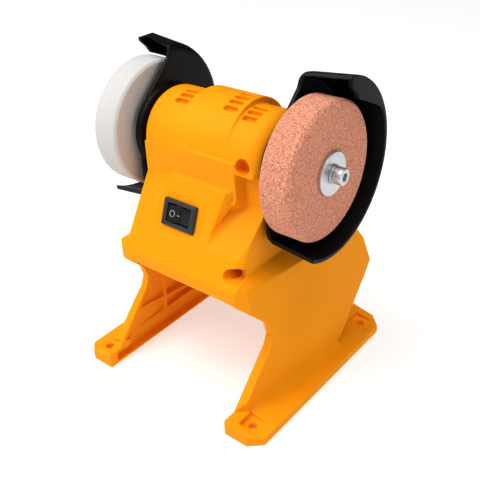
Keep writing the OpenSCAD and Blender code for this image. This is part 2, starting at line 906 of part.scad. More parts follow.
module wheel_flanges() {
    color(steel) both_sides() ring(wheel_x - flange_t, wheel_x, flange_r, bore_d / 2);
}

module wheel() {
    r = wheel_d / 2;
    c = wheel_chamfer;
    on_shaft() rotate_extrude() polygon([[bore_d / 2, wheel_x], [r - c, wheel_x], [r, wheel_x + c],
        [r, wheel_end - c], [r - c, wheel_end], [bore_d / 2, wheel_end]]);
}

module grinding_wheel() {
    color([0.87, 0.55, 0.45]) wheel();
}

module polishing_wheel() {
    color([0.9, 0.88, 0.86]) mirror([1, 0, 0]) wheel();
}

module clamp_washers() {
    color(steel) both_sides() ring(wheel_end, wheel_end + washer_t, washer_r, bolt_r + fit_gap);
}

module spring_washers() {
    color(steel) both_sides()
        ring(wheel_end + washer_t, wheel_end + washer_t + spring_t, bolt_head_r + 0.6, bolt_r + fit_gap);
}

module clamp_bolts() {
    head = wheel_end + washer_t + spring_t;
    color(steel) both_sides() difference() {
        union() {
            rod(head, head + bolt_head_h, bolt_head_r);
            rod(wheel_end - 14, head + cut, bolt_r);
        }
        on_shaft() translate([0, 0, head + bolt_head_h - 2.5]) cylinder(h = 5, r = 2.3, $fn = 6);
    }
}

main_housing();
rear_cover();
left_guard();
right_guard();
motor_can();
left_end_bell();
right_end_bell();
field_magnets();
shaft_bearings();
brush_holders();
carbon_brushes();
motor_screw();
cover_screws();
guard_screws();
switch_body();
switch_terminals();
power_socket();
socket_nut();
shaft();
armature_core();
armature_windings();
commutator();
cooling_fan();
wheel_flanges();
grinding_wheel();
polishing_wheel();
clamp_washers();
spring_washers();
clamp_bolts();
switch_rocker();
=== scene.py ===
import json
import math

import bmesh
import bpy
import numpy as np
from mathutils import Matrix, Vector


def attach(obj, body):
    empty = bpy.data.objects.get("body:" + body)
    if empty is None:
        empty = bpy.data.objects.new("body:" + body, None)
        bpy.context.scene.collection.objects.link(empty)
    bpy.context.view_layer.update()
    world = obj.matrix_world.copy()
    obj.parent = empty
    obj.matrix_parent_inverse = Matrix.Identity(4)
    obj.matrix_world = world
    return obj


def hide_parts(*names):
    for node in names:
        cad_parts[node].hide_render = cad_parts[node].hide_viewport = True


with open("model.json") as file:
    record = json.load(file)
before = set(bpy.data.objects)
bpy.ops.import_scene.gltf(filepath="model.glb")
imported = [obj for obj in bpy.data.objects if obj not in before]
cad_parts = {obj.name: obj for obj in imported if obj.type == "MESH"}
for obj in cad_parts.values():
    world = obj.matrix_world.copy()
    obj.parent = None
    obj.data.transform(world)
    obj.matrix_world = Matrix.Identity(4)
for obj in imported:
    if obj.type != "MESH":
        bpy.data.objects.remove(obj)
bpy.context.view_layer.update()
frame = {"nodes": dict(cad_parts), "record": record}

mm = 0.001  # sizes in the shape dictionaries are millimetres, and the scene is in metres
shaftHeight = 141.0
noiseSpan = (0.3, 0.7)  # where nearly all values of a noise lie
print("grinder: frame loaded,", len(frame["nodes"]), "nodes")


def newFinish(name):
    finish = bpy.data.materials.new(name)
    finish.use_nodes = True
    tree = finish.node_tree
    shader = tree.nodes["Principled BSDF"]
    place = tree.nodes.new("ShaderNodeTexCoord").outputs["Object"]
    return finish, tree, shader, place


def noiseOf(tree, place, scale, detail=2.0, rough=0.5, stretch=None):
    if stretch:
        turn = tree.nodes.new("ShaderNodeMapping")
        turn.inputs["Scale"].default_value = stretch
        tree.links.new(place, turn.inputs["Vector"])
        place = turn.outputs["Vector"]
    noise = tree.nodes.new("ShaderNodeTexNoise")
    noise.inputs["Scale"].default_value = scale
    noise.inputs["Detail"].default_value = detail
    noise.inputs["Roughness"].default_value = rough
    tree.links.new(place, noise.inputs["Vector"])
    return noise.outputs["Fac"]


def rampOf(tree, factor, stops):
    ramp = tree.nodes.new("ShaderNodeValToRGB")
    while len(ramp.color_ramp.elements) < len(stops):
        ramp.color_ramp.elements.new(0.5)
    for element, (at, colour) in zip(ramp.color_ramp.elements, stops):
        element.position = at
        element.color = (*colour, 1.0)
    tree.links.new(factor, ramp.inputs["Fac"])
    return ramp.outputs["Color"]


def spread(tree, factor, low, high):
    fit = tree.nodes.new("ShaderNodeMapRange")
    for end, value in zip(("From Min", "From Max", "To Min", "To Max"), (*noiseSpan, low, high)):
        fit.inputs[end].default_value = value
    tree.links.new(factor, fit.inputs["Value"])
    return fit.outputs["Result"]


# bump whose depth is in metres
def bumpFrom(tree, shader, height, strength, depth=0.0001):
    bump = tree.nodes.new("ShaderNodeBump")
    bump.inputs["Strength"].default_value = strength
    bump.inputs["Distance"].default_value = depth
    tree.links.new(height, bump.inputs["Height"])
    tree.links.new(bump.outputs["Normal"], shader.inputs["Normal"])


# base colour that drifts a little to both sides of a look's colour
def driftColour(tree, shader, noise, look):
    tones = [tuple(c * k for c in look["colour"]) for k in (1 - look["drift"], 1 + look["drift"])]
    tree.links.new(rampOf(tree, noise, list(zip(noiseSpan, tones))), shader.inputs["Base Color"])


# moulded plastic: a slow drift of colour, a fine spark-eroded grain in the bump and a little change of gloss
def mouldedFinish(name, look):
    finish, tree, shader, place = newFinish(name)
    driftColour(tree, shader, noiseOf(tree, place, look["driftScale"]), look)
    grain = noiseOf(tree, place, look["grainScale"], detail=3.0, rough=0.6)
    tree.links.new(spread(tree, grain, *look["gloss"]), shader.inputs["Roughness"])
    bumpFrom(tree, shader, grain, look["grain"])
    shader.inputs["Specular IOR Level"].default_value = look["shine"]
    return finish


# plated metal: a cloudy drift of tone, and fine streaks in gloss and in the bump
def platedFinish(name, look):
    finish, tree, shader, place = newFinish(name)
    shader.inputs["Metallic"].default_value = 1.0
    driftColour(tree, shader, noiseOf(tree, place, look["cloudScale"], detail=4.0, rough=0.6), look)
    streak = noiseOf(tree, place, look["streakScale"], detail=3.0, rough=0.6, stretch=look["stretch"])
    tree.links.new(spread(tree, streak, *look["gloss"]), shader.inputs["Roughness"])
    bumpFrom(tree, shader, streak, look["scratch"])
    return finish


# bonded grit: every grain is a cell with its own tone, with a few pale glints between; the pores are painted
# darker where the bump sinks, painted shade in their pits
def gritFinish(name, look):
    finish, tree, shader, place = newFinish(name)
    cells = tree.nodes.new("ShaderNodeTexVoronoi")
    cells.inputs["Scale"].default_value = look["grainScale"]
    tree.links.new(place, cells.inputs["Vector"])
    tone = tree.nodes.new("ShaderNodeSeparateColor")
    tree.links.new(cells.outputs["Color"], tone.inputs["Color"])
    grains = rampOf(tree, tone.outputs["Red"], look["tones"])
    pores = noiseOf(tree, place, look["poreScale"], detail=3.0, rough=0.65)
    # painted shade: the pore noise darkens the colour in the same hollows that it sinks in the bump
    pitShade = rampOf(tree, pores, list(zip(look["poreSpan"], (look["poreShade"], (1.0, 1.0, 1.0)))))
    mix = tree.nodes.new("ShaderNodeMix")
    mix.data_type = "RGBA"
    mix.blend_type = "MULTIPLY"
    mix.inputs["Factor"].default_value = 1.0
    tree.links.new(grains, mix.inputs["A"])
    tree.links.new(pitShade, mix.inputs["B"])
    tree.links.new(mix.outputs["Result"], shader.inputs["Base Color"])
    shader.inputs["Roughness"].default_value = look["rough"]
    shader.inputs["Specular IOR Level"].default_value = look["shine"]
    height = tree.nodes.new("ShaderNodeMath")
    height.operation = "ADD"
    tree.links.new(tone.outputs["Green"], height.inputs[0])
    tree.links.new(pores, height.inputs[1])
    bumpFrom(tree, shader, height.outputs["Value"], look["relief"], look["depth"])
    return finish


# pressed felt: short crossing fibres from two stretched noises, with a soft sheen
def feltFinish(name, look):
    finish, tree, shader, place = newFinish(name)
    one, two = (noiseOf(tree, place, scale, detail=4.0, rough=0.7, stretch=stretch)
                for scale, stretch in look["fibres"])
    both = tree.nodes.new("ShaderNodeMath")
    both.operation = "MULTIPLY_ADD"
    both.inputs[1].default_value = 0.5
    half = tree.nodes.new("ShaderNodeMath")
    half.operation = "MULTIPLY"
    half.inputs[1].default_value = 0.5
    tree.links.new(two, half.inputs[0])
    tree.links.new(one, both.inputs[0])
    tree.links.new(half.outputs["Value"], both.inputs[2])
    tree.links.new(rampOf(tree, both.outputs["Value"], look["tones"]), shader.inputs["Base Color"])
    shader.inputs["Roughness"].default_value = look["rough"]
    shader.inputs["Specular IOR Level"].default_value = look["shine"]
    shader.inputs["Sheen Weight"].default_value = look["sheen"]
    bumpFrom(tree, shader, both.outputs["Value"], look["nap"], look["depth"])
    return finish


finishLook = {
    "yellow": dict(colour=(0.95, 0.385, 0.008), drift=0.025, driftScale=30, grainScale=2600, grain=0.08,
                   gloss=(0.44, 0.56), shine=0.12),
    "guard": dict(colour=(0.004, 0.004, 0.0042), drift=0.15, driftScale=40, grainScale=2200, grain=0.12,
                  gloss=(0.38, 0.5), shine=0.25),
    "dark": dict(colour=(0.05, 0.05, 0.055), drift=0.1, driftScale=60, grainScale=1800, grain=0.2,
                 gloss=(0.5, 0.62), shine=0.35),
    "switch": dict(colour=(0.018, 0.018, 0.02), drift=0.1, driftScale=80, grainScale=3000, grain=0.06,
                   gloss=(0.24, 0.34), shine=0.5),
    "bezel": dict(colour=(0.05, 0.051, 0.056), drift=0.1, driftScale=80, grainScale=2600, grain=0.12,
                  gloss=(0.36, 0.48), shine=0.5),
    "mark": dict(colour=(0.6, 0.6, 0.58), drift=0.04, driftScale=200, grainScale=3000, grain=0.05,
                 gloss=(0.4, 0.5), shine=0.4),
    "magnet": dict(colour=(0.05, 0.05, 0.055), drift=0.2, driftScale=300, grainScale=1500, grain=0.4,
                   gloss=(0.55, 0.75), shine=0.4),
    "zinc": dict(colour=(0.66, 0.67, 0.68), drift=0.06, cloudScale=220, streakScale=900,
                 stretch=(0.3, 1.0, 1.0), gloss=(0.3, 0.44), scratch=0.06),
    "steel": dict(colour=(0.58, 0.59, 0.61), drift=0.06, cloudScale=160, streakScale=1200,
                  stretch=(0.2, 1.0, 1.0), gloss=(0.25, 0.4), scratch=0.1),
    "canSteel": dict(colour=(0.5, 0.51, 0.53), drift=0.08, cloudScale=120, streakScale=700,
                     stretch=(1.0, 0.3, 0.3), gloss=(0.32, 0.48), scratch=0.1),
    "copper": dict(colour=(0.62, 0.28, 0.12), drift=0.1, cloudScale=260, streakScale=1500,
                   stretch=(0.2, 1.0, 1.0), gloss=(0.25, 0.4), scratch=0.2),
    "brass": dict(colour=(0.76, 0.55, 0.24), drift=0.06, cloudScale=240, streakScale=900,
                  stretch=(1.0, 0.4, 1.0), gloss=(0.24, 0.38), scratch=0.1),
    # the pore colour is the painted shade in the pits of the grit
    "grit": dict(grainScale=2800, poreScale=1100, poreSpan=(0.34, 0.46), poreShade=(0.62, 0.5, 0.45),
                 rough=0.9, shine=0.3, relief=0.35, depth=0.0003,
                 tones=[(0.0, (0.5, 0.19, 0.11)), (0.25, (0.68, 0.29, 0.18)), (0.6, (0.76, 0.36, 0.24)),
                        (0.84, (0.82, 0.44, 0.32)), (1.0, (0.9, 0.64, 0.53))]),
    "felt": dict(fibres=[(900, (0.35, 1.0, 1.6)), (1170, (1.5, 0.4, 0.9))], rough=0.95, shine=0.15,
                 sheen=0.2, nap=0.5, depth=0.0004,
                 tones=[(0.3, (0.58, 0.565, 0.545)), (0.5, (0.64, 0.625, 0.61)), (0.7, (0.68, 0.67, 0.66))]),
}
finishes = {
    "yellow_plastic": mouldedFinish("yellowMoulding", finishLook["yellow"]),
    "black_guard": mouldedFinish("guardMoulding", finishLook["guard"]),
    "dark_plastic": mouldedFinish("darkMoulding", finishLook["dark"]),
    "switch_plastic": mouldedFinish("switchMoulding", finishLook["switch"]),
    "magnet": mouldedFinish("sinteredMagnet", finishLook["magnet"]),
    "zinc": platedFinish("zincPlate", finishLook["zinc"]),
    "bearing_steel": platedFinish("groundSteel", finishLook["steel"]),
    "motor_steel": platedFinish("canSteel", finishLook["canSteel"]),
    "copper": platedFinish("brightCopper", finishLook["copper"]),
    "brass": platedFinish("brightBrass", finishLook["brass"]),
    "pink_abrasive": gritFinish("pinkGrit", finishLook["grit"]),
    "white_felt": feltFinish("whiteFelt", finishLook["felt"]),
}
bezelFinish = mouldedFinish("bezelMoulding", finishLook["bezel"])
markFinish = mouldedFinish("markPaint", finishLook["mark"])
slotOfNode = {row["node"]: row["material_slot"] for row in frame["record"]["subparts"]}
for nodeName, node in frame["nodes"].items():
    node.data.materials.clear()
    node.data.materials.append(finishes[slotOfNode[nodeName]])
print("grinder: finishes made")


# closed mesh from points in millimetres and quads: doubles at poles are merged and faces turned outwards
def closedMesh(name, points, quads):
    mesh = bpy.data.meshes.new(name)
    flat = np.ascontiguousarray(points.reshape(-1, 3) * mm)
    mesh.from_pydata(flat.tolist(), [], quads.tolist())
    shape = bmesh.new()
    shape.from_mesh(mesh)
    bmesh.ops.remove_doubles(shape, verts=shape.verts, dist=2e-6)
    bmesh.ops.dissolve_degenerate(shape, edges=shape.edges, dist=1e-7)
    bmesh.ops.recalc_face_normals(shape, faces=shape.faces)
    shape.to_mesh(mesh)
    shape.free()
    return mesh


def newObject(name, data):
    made = bpy.data.objects.new(name, data)
    bpy.context.scene.collection.objects.link(made)
    return made


# a piece with its finish, body, replaced nodes and slot; edges over the sharp angle stay hard
def placePiece(name, mesh, body, nodes, slot, finish, sharp):
    piece = newObject(name, mesh)
    mesh.materials.clear()
    mesh.materials.append(finish or finishes[slot])
    mesh.shade_smooth()
    if sharp:
        mesh.set_sharp_from_angle(angle=math.radians(sharp))
    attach(piece, body)
    if nodes:
        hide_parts(*nodes)


def makePiece(name, points, quads, body, nodes, slot, finish=None, sharp=40.0):
    placePiece(name, closedMesh(name, points, quads), body, nodes, slot, finish, sharp)


# the four corners of every cell of a grid of points, wrapped where the grid closes on itself
def gridQuads(rows, cols, wrapRows, wrapCols):
    i = np.arange(rows if wrapRows else rows - 1)[:, None]
    j = np.arange(cols if wrapCols else cols - 1)[None, :]
    nextI, nextJ = (i + 1) % rows, (j + 1) % cols
    corners = [i * cols + j, nextI * cols + j, nextI * cols + nextJ, i * cols + nextJ]
    return np.stack(np.broadcast_arrays(*corners), -1).reshape(-1, 4)


# several grids in one mesh
def joinGrids(grids):
    points = np.concatenate([g[0].reshape(-1, 3) for g in grids])
    starts = np.cumsum([0] + [g[0].reshape(-1, 3).shape[0] for g in grids[:-1]])
    return points, np.concatenate([g[1] + s for g, s in zip(grids, starts)])


# closed outline whose corners give way to quadratic arcs that start and end one radius from the corner
def roundedLoop(corners, radius, steps=5):
    p = np.asarray(corners, float)
    r = np.broadcast_to(np.asarray(radius, float), len(p))[:, None]
    toward = lambda q: (q - p) / np.linalg.norm(q - p, axis=1, keepdims=True) * r + p
    a, b = toward(np.roll(p, 1, 0))[:, None], toward(np.roll(p, -1, 0))[:, None]
    t = np.linspace(0, 1, steps)[None, :, None]
    return ((1 - t) ** 2 * a + 2 * t * (1 - t) * p[:, None] + t ** 2 * b).reshape(-1, p.shape[1])


# outline of (x, r) carried round the shaft: y = r cos angle, z = shaft height + r sin angle
def turnedGrid(outline, steps):
    angle = np.linspace(0, 2 * np.pi, steps, endpoint=False)[:, None]
    x, r = outline[None, :, 0], outline[None, :, 1]
    grid = np.stack(np.broadcast_arrays(x, r * np.cos(angle), shaftHeight + r * np.sin(angle)), -1)
    return grid, gridQuads(steps, len(outline), True, True)


def mirrored(grid):
    return grid[0] * np.array([-1.0, 1.0, 1.0]), grid[1][:, ::-1]


# the same piece at both ends of the shaft
def bothEnds(grid):
    return joinGrids([grid, mirrored(grid)])


# a carried section closed at both ends, by one more row at the middle of its first and of its last section
def closeEnds(grid):
    middle = grid.mean(1, keepdims=True)
    first, last = (np.broadcast_to(m, grid[:1].shape) for m in (middle[:1], middle[-1:]))
    grid = np.concatenate([first, grid, last])
    return grid, gridQuads(*grid.shape[:2], False, True)


# copy of a CAD node with the soft edges of a moulding: forms are added and taken away, then it is remeshed
# evenly, relaxed so that flat faces stay flat and edges round over, and thinned to a share of its triangles
def mouldedCopy(nodeName, pieceName, shape, added=(), taken=()):
    mesh = frame["nodes"][nodeName].data.copy()
    made = bmesh.new()
    made.from_mesh(mesh)
    bmesh.ops.remove_doubles(made, verts=made.verts, dist=1e-6)
    made.to_mesh(mesh)
    made.free()
    scratch = newObject("scratchMoulding", mesh)
    tools = []
    for grid, kind in [(g, "UNION") for g in added] + [(g, "DIFFERENCE") for g in taken]:
        tools.append(bpy.data.objects.new("scratchTool", closedMesh("scratchTool", *grid)))
        join = scratch.modifiers.new(kind, "BOOLEAN")
        join.operation = kind
        join.object = tools[-1]
    even = scratch.modifiers.new("even", "REMESH")
    even.mode = "VOXEL"
    even.voxel_size = shape["voxel"] * mm
    relax = scratch.modifiers.new("relax", "SMOOTH")
    relax.factor = 0.5
    relax.iterations = shape["relax"]
    thin = scratch.modifiers.new("thin", "DECIMATE")
    thin.ratio = shape["keep"]
    graph = bpy.context.evaluated_depsgraph_get()
    result = bpy.data.meshes.new_from_object(scratch.evaluated_get(graph), depsgraph=graph)
    for spent in [scratch, *tools]:
        bpy.data.objects.remove(spent)
    result.name = pieceName
    print("grinder:", pieceName, sum(len(p.vertices) - 2 for p in result.polygons), "triangles")
    placePiece(pieceName, result, "stand", [nodeName], slotOfNode[nodeName], finish=None, sharp=0)


switchShape = dict(at=(-5.6, -35.8, 109.0), tilt=20.0, bezel=(11.7, 7.8), opening=(8.35, 5.45),
                   body=(9.5, 6.5), lift=2.0, depth=14.0, pocket=7.0,
                   holeGap=0.1, holeCorner=0.3, holeBelow=2.0, holeAbove=4.0)
panelTurn = math.radians(90 - switchShape["tilt"])
panelAxes = np.array([(1, 0, 0), (0, math.cos(panelTurn), math.sin(panelTurn)),
                      (0, -math.sin(panelTurn), math.cos(panelTurn))])


# local points across, up and out of the panel, put in the grinder's frame
def onPanel(points):
    return points @ panelAxes + np.array(switchShape["at"])


# rounded rectangle for each row of half width, half height, corner radius and height
def frameRings(rows, steps=10):
    rows = np.array(rows, float)
    a = np.linspace(0, np.pi / 2, steps)
    turn = (np.arange(4)[:, None] * np.pi / 2 + a[None]).ravel()
    sx = np.repeat([1.0, -1.0, -1.0, 1.0], steps)
    sy = np.repeat([1.0, 1.0, -1.0, -1.0], steps)
    w, h, r, z = (rows[:, k][:, None] for k in range(4))
    x = sx * (w - r) + r * np.cos(turn)
    y = sy * (h - r) + r * np.sin(turn)
    grid = np.stack(np.broadcast_arrays(x, y, z), -1)
    return grid, gridQuads(len(rows), 4 * steps, False, True)


# box with rounded upright edges, closed below and above
def softBox(w, h, corner, low, high, steps):
    return frameRings([(0, 0, 0, low), (w, h, corner, low), (w, h, corner, high), (0, 0, 0, high)], steps)


# hole for the switch body: a box along the switch's own axis, a little wider than the body
def switchHole(s):
    w, h = (half + s["holeGap"] for half in s["body"])
    low, high = -s["depth"] - s["holeBelow"], s["lift"] + s["holeAbove"]
    grid, quads = softBox(w, h, s["holeCorner"], low, high, steps=4)
    return onPanel(grid), quads


padShape = dict(section=[(-29.0, 127.6), (-25.0, 129.8), (-25.0, 123.0), (-36.9, 103.0), (-37.9, 103.5)],
                sunk=[(3.4, -1.0), (0.0, 0.0), (0.0, 0.0), (0.0, 0.0), (0.8, 0.0)],
                bevel=[-21.5, -21.5, -27.5, -30.5, -30.5], shoulder=[-17.7, -17.7, -19.0, -27.0, -27.0],
                right=[22.0, 26.3, 26.3, 16.8, 16.8])


# pad: the raised switch panel, steeper than the body's own slope; its section of (y, z) runs from the upper
# front edge over the ledge and down inside the wall to the foot, and every point has its own x at the left
# bevel, where the section sinks into the wall, at the left shoulder and at the right end beside the notch
def padGrid(p):
    full = np.array(p["section"])
    section = np.stack([full + np.array(p["sunk"]), full, full])
    x = np.array([p["bevel"], p["shoulder"], p["right"]])
    return closeEnds(np.concatenate([x[..., None], section], -1))


webShape = dict(start=33.5, end=48.0, top=76.0, lap=1.2, drop=7.5, wall=3.0, corner=92.0, rows=9, steps=25,
                front=([56.5, 72.0, 76.0, 90.0], [-31.5, -46.75, -49.75, -49.75]))


# web under a front corner of the body: a wall section in (y, z) carried along x, as deep as a slanted line
# below the body; its front follows the leg's front outline and is held behind the 45 degree corner
def webGrid(w):
    x = np.linspace(w["start"], w["end"], w["steps"])[:, None]
    low = w["top"] - w["drop"] * (x - w["start"]) / (w["end"] - w["start"])
    high = w["top"] + w["lap"]
    z = high - np.linspace(0, 1, w["rows"])[None] * (high - low)
    front = np.maximum(np.interp(z, *w["front"]), x - w["corner"])
    y = np.concatenate([front, front[:, ::-1] + w["wall"]], 1)
    z = np.concatenate([z, z[:, ::-1]], 1)
    return closeEnds(np.stack(np.broadcast_arrays(x, y, z), -1))


cheekShape = dict(x=(-24.0, 4.0, 26.4), sink=1.3,
                  section=[(-26.7, 144.8), (-25.9, 123.6), (-24.5, 123.6), (-24.5, 144.8)])


# cheek: a thin wedge on the upright face, so that the face stands a little proud of the tube above it; its
# section is carried along x, sunk into the wall at the left end and fully out from the second x onwards
def cheekGrid(c):
    sunk = np.array([1.0, 0.0, 0.0])[:, None, None] * np.array([c["sink"], 0.0])
    section = np.array(c["section"])[None] + sunk
    x = np.array(c["x"])[:, None]
    return closeEnds(np.stack(np.broadcast_arrays(x, section[..., 0], section[..., 1]), -1))


mouthShape = dict(at=(41.0, -46.0, 90.8), half=(7.5, 8.0, 4.0), rows=25, steps=48)


# mouth of the low screw recess: an ellipsoid by latitude and longitude, which scoops a run-out to the right
def mouthGrid(m):
    lat = np.linspace(-np.pi / 2, np.pi / 2, m["rows"])[:, None]
    lon = np.linspace(0, 2 * np.pi, m["steps"], endpoint=False)[None]
    unit = [np.cos(lat) * np.cos(lon), np.cos(lat) * np.sin(lon), np.sin(lat)]
    unit = np.stack(np.broadcast_arrays(*unit), -1)
    return np.array(m["at"]) + np.array(m["half"]) * unit, gridQuads(m["rows"], m["steps"], False, True)


hollowShapes = [dict(x=(44.0, 50.5), y=(-62.0, 60.0), z=(1.6, 7.2), round=3.0),  # under the foot's top
                dict(x=(44.0, 50.5), y=(-49.5, 27.0), z=(6.5, 13.0), round=1.0)]  # through it into the leg


# hollow of a foot: a rounded plan carried up z, which opens the foot's inner side into the hollow leg
def footHollow(f):
    (x0, x1), (y0, y1) = f["x"], f["y"]
    plan = roundedLoop([(x0, y0), (x1, y0), (x1, y1), (x0, y1)], f["round"], steps=6)
    z = np.array(f["z"])[:, None]
    return closeEnds(np.stack(np.broadcast_arrays(plan[:, 0], plan[:, 1], z), -1))


filletShape = dict(y=(-52.5, 32.0), start=52.9, flare=4.3, top=10.0, inner=46.5, fall=5.0 / 23.0, lean=0.08,
                   radius=5.0, runOut=5.0, least=0.05, sink=1.2, rows=9, steps=61)


# fillet between a leg's outer face and its foot: a concave quarter arc in (x, z) carried along y; the corner
# that it fills follows the flare of the leg and the slope of the foot, and its radius runs out at both ends
def footFillet(f):
    y = np.linspace(*f["y"], f["steps"])[:, None]
    x = f["start"] + (y - f["y"][0]) * math.tan(math.radians(f["flare"]))
    z = f["top"] - (x - f["inner"]) * f["fall"]
    r = f["radius"] * np.clip(np.minimum(y - f["y"][0], f["y"][1] - y) / f["runOut"], f["least"], 1.0)
    a = np.linspace(0, np.pi / 2, f["rows"])[None]
    out, up = r * (1 - np.sin(a)), r * (1 - np.cos(a))
    across = np.concatenate([x + out - up * f["lean"], x - f["sink"]], 1)
    height = np.concatenate([z + up - out * f["fall"], z - f["sink"]], 1)
    return closeEnds(np.stack(np.broadcast_arrays(across, y, height), -1))


housingShape = dict(voxel=0.5, relax=3, keep=0.16)
coverShape = dict(voxel=0.5, relax=3, keep=0.25)
guardShape = dict(voxel=0.45, relax=5, keep=0.3)
web, fillet = webGrid(webShape), footFillet(filletShape)
hollows = [footHollow(f) for f in hollowShapes]
housingAdded = [web, mirrored(web), fillet, mirrored(fillet), cheekGrid(cheekShape), padGrid(padShape)]
housingTaken = [mouthGrid(mouthShape), switchHole(switchShape), *hollows, *map(mirrored, hollows)]
mouldedCopy("main_housing", "housing", housingShape, housingAdded, housingTaken)
mouldedCopy("rear_cover", "rearCover", coverShape)
mouldedCopy("left_guard", "leftGuard", guardShape)
mouldedCopy("right_guard", "rightGuard", guardShape)
print("grinder: housing and guards made")

wheelShape = dict(inner=50.0, outer=68.0, radius=37.5, bore=5.0, boreSoften=0.2, steps=256)
grindingShape = dict(wheelShape, chamfer=1.5, soften=0.5)
polishingShape = dict(wheelShape, chamfer=1.4, soften=0.6)


# wheel: a closed outline of (x, r) with broken edges turned about the shaft
def wheelGrid(w):
    x0, x1, r, c = w["inner"], w["outer"], w["radius"], w["chamfer"]
    loop = [(x0, w["bore"]), (x0, r - c), (x0 + c, r), (x1 - c, r), (x1, r - c), (x1, w["bore"])]
    soften = [w["boreSoften"], *[w["soften"]] * 4, w["boreSoften"]]
    return turnedGrid(roundedLoop(loop, soften), w["steps"])


grinding, polishing = wheelGrid(grindingShape), mirrored(wheelGrid(polishingShape))
makePiece("grindingWheel", *grinding, "rotor", ["grinding_wheel"], "pink_abrasive", sharp=60)
makePiece("polishingWheel", *polishing, "rotor", ["polishing_wheel"], "white_felt", sharp=60)

washerShape = dict(start=68.0, thick=2.0, radius=11.8, hole=2.53, soften=(0.1, 0.2, 0.4, 0.2), steps=128)


# clamp washer: a flat section with broken edges turned about the shaft
def washerGrid(w):
    x0, x1 = w["start"], w["start"] + w["thick"]
    loop = [(x0, w["hole"]), (x0, w["radius"]), (x1, w["radius"]), (x1, w["hole"])]
    return turnedGrid(roundedLoop(loop, w["soften"], steps=4), w["steps"])


washers = bothEnds(washerGrid(washerShape))
makePiece("clampWashers", *washers, "rotor", ["clamp_washers"], "zinc", sharp=50)

springShape = dict(start=70.0, thick=1.45, inner=2.6, outer=5.1, soften=0.22, climb=0.12, gap=9.0, steps=120)


# spring washer: a square section carried round most of a turn while it climbs a little, with closed ends
def springGrid(s):
    corners = [(0, s["inner"]), (0, s["outer"]), (s["thick"], s["outer"]), (s["thick"], s["inner"])]
    section = roundedLoop(corners, s["soften"], steps=4)[None]
    turn = np.radians(np.linspace(s["gap"] / 2, 360 - s["gap"] / 2, s["steps"]))[:, None]
    x = s["start"] + s["climb"] * turn / (2 * np.pi) + section[..., 0]
    r = section[..., 1]
    return closeEnds(np.stack([x, r * np.cos(turn), shaftHeight + r * np.sin(turn)], -1))


springs = bothEnds(springGrid(springShape))
makePiece("springWashers", *springs, "rotor", ["spring_washers"], "zinc", sharp=45)

boltShape = dict(tip=54.0, tipBreak=0.4, shank=2.5, head=71.6, headBreak=0.15, length=5.0, radius=4.6,
                 rim=0.55, rimMiddle=(0.2, 0.16), socket=2.3, lead=(0.18, 0.35), leadShare=0.6, depth=2.5,
                 cone=0.3, steps=144)


# socket bolt: each row of the profile has an x, a radius and a share of hexagon, so that the outline goes
# from a circle at the head's rim to a hexagon, which then runs down the socket; a hexagon's radius is the
# cosine of 30 degrees over the cosine of the angle from the middle of its side
def boltGrid(b):
    tip, head, shank, radius, socket = (b[k] for k in ("tip", "head", "shank", "radius", "socket"))
    (rimX, rimR), (leadX, leadR) = b["rimMiddle"], b["lead"]
    end = head + b["length"]
    floor = end - b["depth"]
    rows = np.array([
        (tip, 0.0, 0), (tip, shank - b["tipBreak"], 0), (tip + b["tipBreak"], shank, 0),
        (head, shank, 0), (head, radius - b["headBreak"], 0), (head + b["headBreak"], radius, 0),
        (end - b["rim"], radius, 0), (end - rimX, radius - rimR, 0), (end, radius - b["rim"], 0),
        (end, socket + leadR, b["leadShare"]), (end - leadX, socket, 1),
        (floor, socket, 1), (floor - b["cone"], 0.0, 1)])
    angle = np.linspace(0, 2 * np.pi, b["steps"], endpoint=False)[:, None]
    hexagon = np.cos(np.pi / 6) / np.cos((angle % (np.pi / 3)) - np.pi / 6)
    r = rows[None, :, 1] * (1 + rows[None, :, 2] * (hexagon - 1))
    x = np.broadcast_to(rows[None, :, 0], r.shape)
    grid = np.stack([x, r * np.cos(angle), shaftHeight + r * np.sin(angle)], -1)
    return grid, gridQuads(b["steps"], len(rows), True, False)


bolts = bothEnds(boltGrid(boltShape))
makePiece("clampBolts", *bolts, "rotor", ["clamp_bolts"], "zinc", sharp=35)

flangeShape = dict(start=47.0, thick=3.0, radius=12.0, hole=5.0, neck=8.5, slope=0.9, soften=0.3, steps=96)


# inner flange: a section that widens from its neck to the wheel, turned about the shaft
def flangeGrid(f):
    x0, x1, r = f["start"], f["start"] + f["thick"], f["radius"]
    loop = [(x0, f["hole"]), (x0, f["neck"]), (x0 + f["slope"], r), (x1, r), (x1, f["hole"])]
    return turnedGrid(roundedLoop(loop, f["soften"], steps=4), f["steps"])


flanges = bothEnds(flangeGrid(flangeShape))
makePiece("wheelFlanges", *flanges, "rotor", ["wheel_flanges"], "zinc", sharp=50)
print("grinder: wheels and hardware made")

bezelShape = dict(lip=[(0.0, 0.4, -0.5), (0.12, 0.5, -0.15), (0.4, 0.8, 0.0)],
                  rim=[(-0.6, 0.3, 0.0), (-0.2, 0.5, -0.15), (0.0, 0.7, -0.55)], bodyCorner=0.6)


# switch body: rings from the pocket's floor up its wall, over the bezel's rounded frame and down the body; a
# row of lip or rim has how much wider than the opening or bezel the ring is, its corner radius and how far
# above the lift it lies
def bezelGrid(s, b):
    (w, h), (ow, oh), top = s["bezel"], s["opening"], s["lift"]
    lip = [(ow + wider, oh + wider, corner, top + above) for wider, corner, above in b["lip"]]
    rim = [(w + wider, h + wider, corner, top + above) for wider, corner, above in b["rim"]]
    inner = [(0, 0, 0, -s["pocket"]), (*lip[0][:3], -s["pocket"])]
    outer = [(*rim[-1][:3], 0), (*s["body"], b["bodyCorner"], 0), (*s["body"], b["bodyCorner"], -s["depth"])]
    return frameRings([*inner, *lip, *rim, *outer, (0, 0, 0, -s["depth"])])


bezelPoints, bezelQuads = bezelGrid(switchShape, bezelShape)
makePiece("switchBody", onPanel(bezelPoints), bezelQuads, "stand", ["switch_body"], "switch_plastic",
          bezelFinish, sharp=50)

